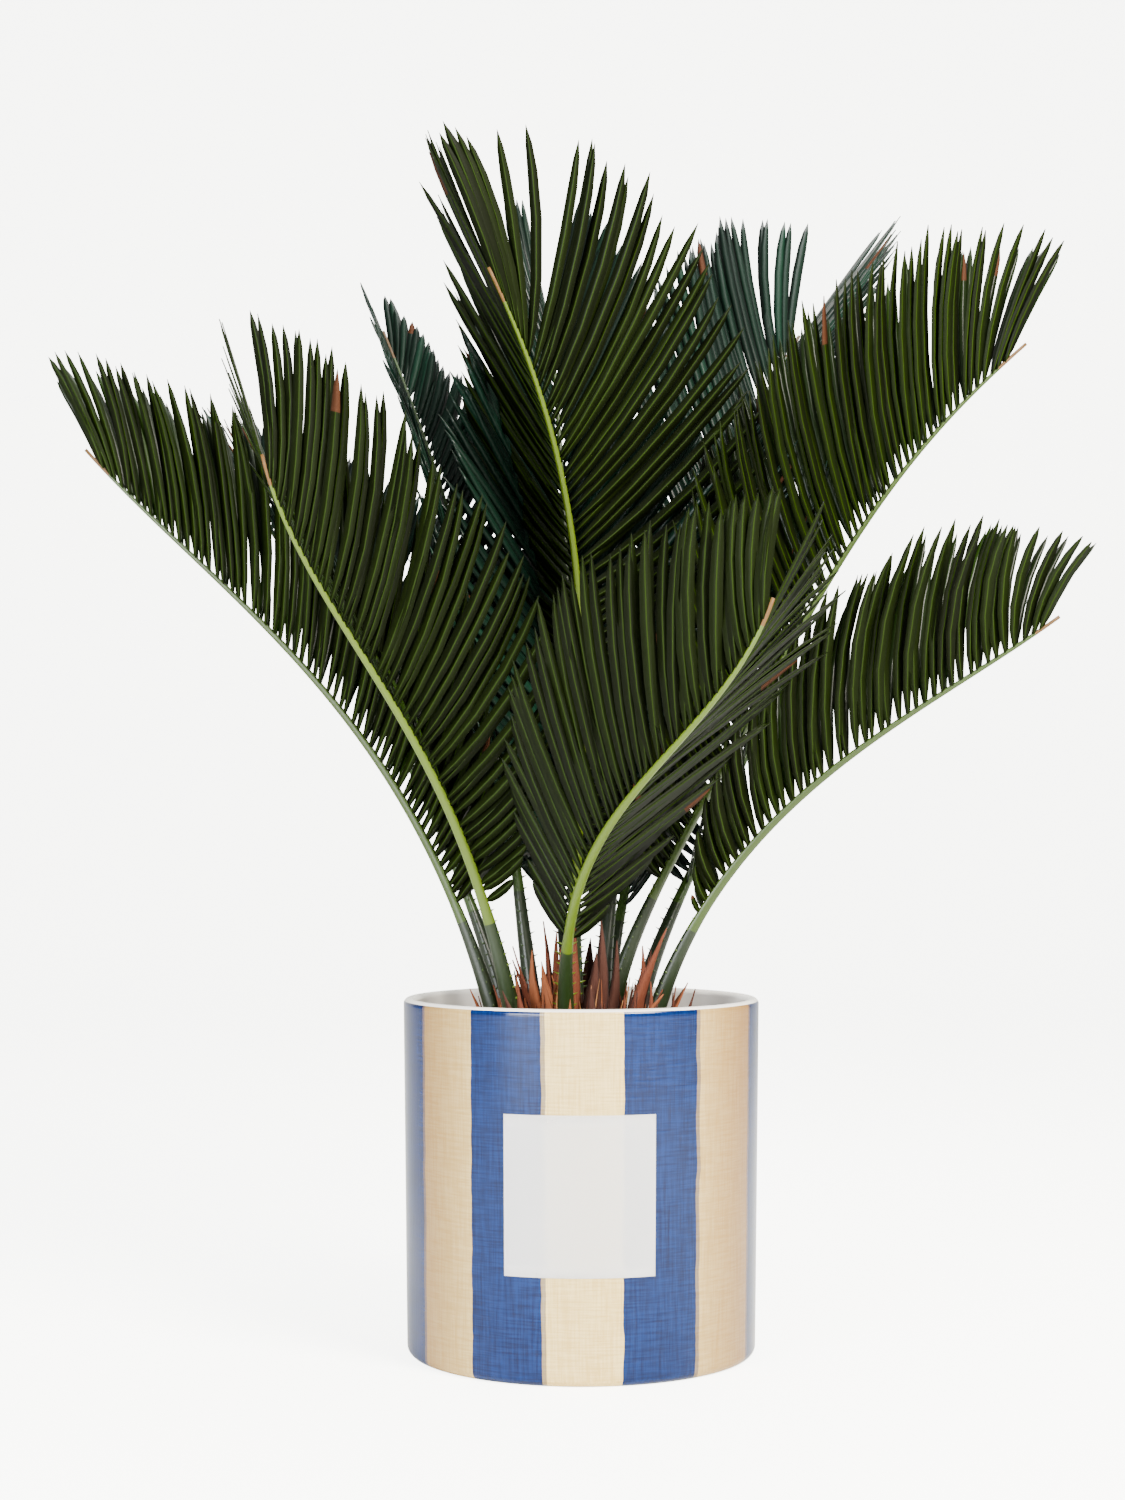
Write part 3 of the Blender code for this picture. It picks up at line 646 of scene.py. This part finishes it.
def leafCourse(root, axes, outwards, length, angle, lift, bend, hook):
    # The points along a leaflet's middle, each with its forward direction and its upper face's.
    along, right, up = axes
    point, before, course = root, 0.0, []
    for part, _ in leaf["shape"]:
        for at in ((part + before) / 2, part):
            raised = math.radians(lift + hook * at * at)
            rise = math.cos(raised) * outwards + math.sin(raised) * up
            a = math.radians(angle + bend * (0.5 - at))
            if at != part or part == 0.0:
                point = point + (math.cos(a) * along + math.sin(a) * rise) * (length * (part - before))
        face = math.cos(raised) * up - math.sin(raised) * outwards
        course.append((point, math.sin(a) * along - math.cos(a) * rise, face))
        before = part
    return course


def insideBox(point):
    return all(low + leaf["margin"] <= value <= high - leaf["margin"]
               for low, value, high in zip(cadBox[0], point, cadBox[1]))


def addLeaflet(shape, frond, line, share, side, uppers):
    place = (share - frond["bare"]) / (1 - frond["bare"])
    row = frond[side]
    length = blend(frond["leaflets"], place) * (1 + leaf["lengthPlay"] * chance.uniform(-1, 1))
    angle = blend(row["angles"], place) * leafFold(place, frond) + leaf["anglePlay"] * chance.uniform(-1, 1)
    lift = row["lift"] + leaf["liftPlay"] * chance.uniform(-1, 1)
    axes = ribAxes(frond, share)
    outwards = axes[1] if side == "right" else -axes[1]
    slim = leaf["slimShare"] * length + leaf["slimmest"]
    half = min(leaf["width"], slim) / 2 * chance.uniform(0.92, 1.06)
    root = ribPoint(line, share) + outwards * ribSize(frond, share)[0] * leaf["inset"]
    twist = math.radians(leaf["twist"] * chance.uniform(0.7, 1.3))
    bend = frond["sweep"] + leaf["bendPlay"] * chance.uniform(-1, 1)
    hook = leaf["hook"] + leaf["hookPlay"] * chance.uniform(-1, 1)
    upper = chance.choice(uppers)
    under = chance.choice((3, 4))
    scorched = chance.random() < leaf["scorched"]
    # A leaflet that would leave the solids' box is a little shorter.
    course = leafCourse(root, axes, outwards, length, angle, lift, bend, hook)
    while not insideBox(course[-1][0]):
        length *= 0.96
        course = leafCourse(root, axes, outwards, length, angle, lift, bend, hook)
    first = len(shape["points"])
    for (part, fullness), (point, forward, face) in zip(leaf["shape"], course):
        across = forward * math.cos(twist) + face * math.sin(twist)
        normal = face * math.cos(twist) - forward * math.sin(twist)
        w = half * fullness
        drop = leaf["curl"] * w
        keel = leaf["midrib"] * (1 - 0.75 * part) * min(1.0, fullness * 1.6)
        # Six points round the blade: edge, crown and edge above, then the midrib's two sides and keel.
        shape["points"] += [point - across * w - normal * drop, point + normal * leaf["crown"],
                            point + across * w - normal * drop,
                            point + across * (leaf["midribWidth"] * w) - normal * leaf["belly"],
                            point - normal * (leaf["keelFrom"] + keel),
                            point - across * (leaf["midribWidth"] * w) - normal * leaf["belly"]]
    looks = (upper, upper, under, 5, 5, under)
    flip = side == "left"
    count = len(leaf["shape"])
    for j in range(count - 1):
        for k in range(6):
            m = (k + 1) % 6
            a, b = first + 6 * j + k, first + 6 * j + m
            quad = (a, b, b + 6, a + 6)
            shape["faces"].append(quad[::-1] if flip else quad)
            shape["looks"].append(6 if scorched and j >= count - 3 else looks[k])
    ends = (tuple(first + k for k in range(6)), tuple(first + 6 * (count - 1) + k for k in range(6)))
    shape["faces"] += [ends[0] if flip else ends[0][::-1], ends[1][::-1] if flip else ends[1]]
    shape["looks"] += [under, under]


def makeFronds():
    leafLooks = {tone: frondMaterials(tone) for tone in ("front", "side", "back")}
    ribLooks = {tone: ribMaterials(tone) for tone in ("front", "side", "back")}
    for name, frond in fronds.items():
        line = ribLine(frond)
        makeRib(name, frond, line, ribLooks[frond["tone"]])
        shape = {"points": [], "faces": [], "looks": []}
        reach = leaf["topmost"] - frond["bare"]
        count = int(reach * frond["length"] / leaf["pitch"])
        for i in range(count):
            share = frond["bare"] + reach * i / (count - 1)
            # Each spray of leaflets leans towards one of the three greens.
            uppers = ((0, 0, 1), (0, 1, 1), (1, 1, 2))[(i // leaf["spray"]) % 3]
            for side in ("left", "right"):
                jitter = chance.uniform(-0.25, 0.25) * reach / count
                addLeaflet(shape, frond, line, min(share + jitter, leaf["topmost"]), side, uppers)
        looks = leafLooks[frond["tone"]]
        piece = makeObject(name.replace("frond", "leaflets"), shape, looks, [name])
        print(f"{name}: {2 * count} leaflets, {len(piece.data.polygons)} faces")


makeFronds()
print("fronds made")


# Scales: dry brown triangles with frayed tips around the frond feet, and finer ones between them.
# Each fine one stands a golden angle (turn, in radians) further round than the one before.
scale = {"halfWidth": 0.0060, "thickness": 0.0009, "thinning": 0.6, "ridge": 0.4, "edgeDrop": 0.35,
         "fray": 0.12, "bow": (-0.06, 0.10), "curl": 0.8, "turn": 2.39996, "turnPlay": 8,
         "innermost": 0.008, "spread": 0.043, "sunk": 0.001, "leanOut": (-8, 14), "leanAside": 25,
         "extra": 70, "extraLength": (0.018, 0.042), "extraHalfWidth": (0.0032, 0.0058),
         "fibres": 120, "fibreLength": (0.014, 0.040), "fibreHalfWidth": 0.0007,
         "shape": ((0.0, 0.85), (0.15, 1.0), (0.35, 0.92), (0.55, 0.68), (0.75, 0.40), (0.9, 0.18),
                   (1.0, 0.02))}


def addScale(shape, foot, tip, halfWidth, look):
    along = tip - foot
    outward = Vector((foot.x, foot.y, 0.0))
    outward = outward.normalized() if outward.length > 0.001 else Vector((1, 0, 0))
    across = outward.cross(along).normalized()
    normal = along.cross(across).normalized()
    bow = chance.uniform(*scale["bow"]) * along.length
    curl = chance.uniform(-scale["curl"], scale["curl"])
    first = len(shape["points"])
    for part, fullness in scale["shape"]:
        w = halfWidth * fullness * (1 + scale["fray"] * chance.uniform(-1, 1))
        middle = foot + along * part + normal * (bow * math.sin(math.pi * part))
        middle += across * (curl * halfWidth * 0.5 * part ** 3)
        drop = normal * (scale["edgeDrop"] * w)
        ridge = across * (scale["ridge"] * w)
        lift = normal * (scale["thickness"] * (1 - scale["thinning"] * part))
        shape["points"] += [middle - across * w - drop, middle - ridge + lift, middle + ridge + lift,
                            middle + across * w - drop, middle - lift]
    n = 5
    for j in range(len(scale["shape"]) - 1):
        low = first + n * j
        for k in range(n):
            m = (k + 1) % n
            shape["faces"].append((low + k, low + m, low + n + m, low + n + k))
            shape["looks"].append(look)
    last = first + n * (len(scale["shape"]) - 1)
    shape["faces"] += [tuple(first + k for k in range(n - 1, -1, -1)), tuple(last + k for k in range(n))]
    shape["looks"] += [look, look]


def makeScales():
    # Dry fibrous scale leaves: red-brown, streaked lengthways and dull.
    looks = []
    for name, colour in (("dark_scale", "#3b1d12"), ("red_scale", "#5c2c18"), ("rust_scale", "#7d4526"),
                         ("straw_scale", "#9b6a40")):
        material, shader = newMaterial(name, {
            "Base Color": colour, "Roughness": 0.82, "Specular IOR Level": 0.3})
        place = objectCoordinates(material)
        streak = addNode(material, "ShaderNodeMapping", {"Scale": (1500, 1500, 90)}, {"Vector": place})
        grain = addNode(material, "ShaderNodeTexNoise", {"Scale": 1.0, "Detail": 4.0},
                        {"Vector": streak.outputs["Vector"]})
        bump = addNode(material, "ShaderNodeBump", {"Strength": 0.8, "Distance": 0.0006},
                       {"Height": grain.outputs["Fac"]})
        material.node_tree.links.new(bump.outputs["Normal"], shader.inputs["Normal"])
        looks.append(material)
    names = [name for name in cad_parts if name.startswith("scale_")]
    shape = {"points": [], "faces": [], "looks": []}
    for name in names:
        # The solid's four lowest corners are its foot, and its highest one is its tip.
        corners = sorted((vert.co.copy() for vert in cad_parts[name].data.vertices), key=lambda c: c.z)
        foot = sum(corners[:4], Vector()) / 4
        addScale(shape, foot, corners[-1], scale["halfWidth"], chance.choice((0, 1, 1, 2)))
    makeObject("large_scales", shape, looks, names)
    shape = {"points": [], "faces": [], "looks": []}
    for i in range(scale["extra"] + scale["fibres"]):
        fine = i >= scale["extra"]
        reach = scale["innermost"] + scale["spread"] * math.sqrt(chance.random())
        heading = math.degrees(i * scale["turn"]) + chance.uniform(-scale["turnPlay"], scale["turnPlay"])
        foot = direction(0, heading) * reach + Vector((0, 0, domeHeight(reach) - scale["sunk"]))
        climb = math.degrees(math.acos(reach / trunk["domeRadius"])) - chance.uniform(*scale["leanOut"])
        length = chance.uniform(*scale["fibreLength" if fine else "extraLength"])
        aside = chance.uniform(-scale["leanAside"], scale["leanAside"])
        tip = foot + direction(climb, heading + aside) * length
        halfWidth = scale["fibreHalfWidth"] if fine else chance.uniform(*scale["extraHalfWidth"])
        addScale(shape, foot, tip, halfWidth, chance.choice((0, 1, 2, 3) if fine else (0, 0, 1, 1, 2)))
    makeObject("small_scales", shape, looks, [])


makeScales()
print("scales made")


# Stage: a pale floor that rises behind into a plain wall, with soft light from both sides and above.
stage = {"floorHalf": 3.0, "wallAt": 2.6, "bend": 0.9, "height": 4.0, "bendSteps": 16,
         "seenGlow": 6.0, "litGlow": 0.3, "surround": "#f7f8f3", "surroundStrength": 0.5}
# Each lamp's place and target, its width and height, its watts and its tint.
lamps = {
    "key": dict(place=(1.1, -1.3, 1.5), target=(0, 0, 0.35), size=(0.8, 0.8), power=170, colour="#fff8ee"),
    "fill": dict(place=(-1.2, -1.8, 0.6), target=(0, 0, 0.15), size=(1.0, 1.0), power=105, colour="#f8faff"),
    "top": dict(place=(0.2, 0.5, 1.8), target=(0, 0, 0.3), size=(1.2, 1.2), power=40, colour="#ffffff"),
}


def makeStage():
    # Matt paper: no gloss, and bright enough to read as a pale studio sweep.
    backdrop, shader = newMaterial("pale_paper_backdrop", {
        "Base Color": "#f4f5f0", "Roughness": 0.9, "Specular IOR Level": 0.1,
        "Emission Color": stage["surround"]})
    # The camera sees a brighter backdrop than the one that lights the plant.
    seen = addNode(backdrop, "ShaderNodeLightPath", {})
    glow = addNode(backdrop, "ShaderNodeMath",
                   {"operation": "MULTIPLY_ADD", 1: stage["seenGlow"], 2: stage["litGlow"]},
                   {0: seen.outputs["Is Camera Ray"]})
    backdrop.node_tree.links.new(glow.outputs[0], shader.inputs["Emission Strength"])
    addBump(backdrop, shader, 200.0, 2.0, 0.02, 0.0005)
    line = [(-stage["floorHalf"], 0.0)]
    line += [(stage["wallAt"] + stage["bend"] * math.sin(a), stage["bend"] * (1 - math.cos(a)))
             for a in [math.pi / 2 * i / stage["bendSteps"] for i in range(stage["bendSteps"] + 1)]]
    line.append((stage["wallAt"] + stage["bend"], stage["height"]))
    shape = bmesh.new()
    rows = [[shape.verts.new((x, y, z)) for y, z in line] for x in (-stage["floorHalf"], stage["floorHalf"])]
    for i in range(len(line) - 1):
        shape.faces.new((rows[0][i], rows[1][i], rows[1][i + 1], rows[0][i + 1]))
    mesh = bpy.data.meshes.new("backdrop")
    shape.to_mesh(mesh)
    shape.free()
    mesh.shade_smooth()
    mesh.materials.append(backdrop)
    floor = bpy.data.objects.new("backdrop", mesh)
    bpy.context.scene.collection.objects.link(floor)


def addArea(name, place, target, size, power, colour):
    data = bpy.data.lights.new(name, "AREA")
    data.shape = "RECTANGLE"
    data.size, data.size_y = size
    data.energy = power
    data.color = linear(colour)[:3]
    lamp = bpy.data.objects.new(name, data)
    lamp.location = place
    lamp.rotation_euler = (Vector(target) - Vector(place)).to_track_quat("-Z", "Y").to_euler()
    bpy.context.scene.collection.objects.link(lamp)


makeStage()
for lampName, settings in lamps.items():
    addArea(lampName, **settings)
world = bpy.data.worlds.new("studio")
world.use_nodes = True
surround = world.node_tree.nodes["Background"]
surround.inputs["Color"].default_value = linear(stage["surround"])
surround.inputs["Strength"].default_value = stage["surroundStrength"]
bpy.context.scene.world = world
print("stage made")
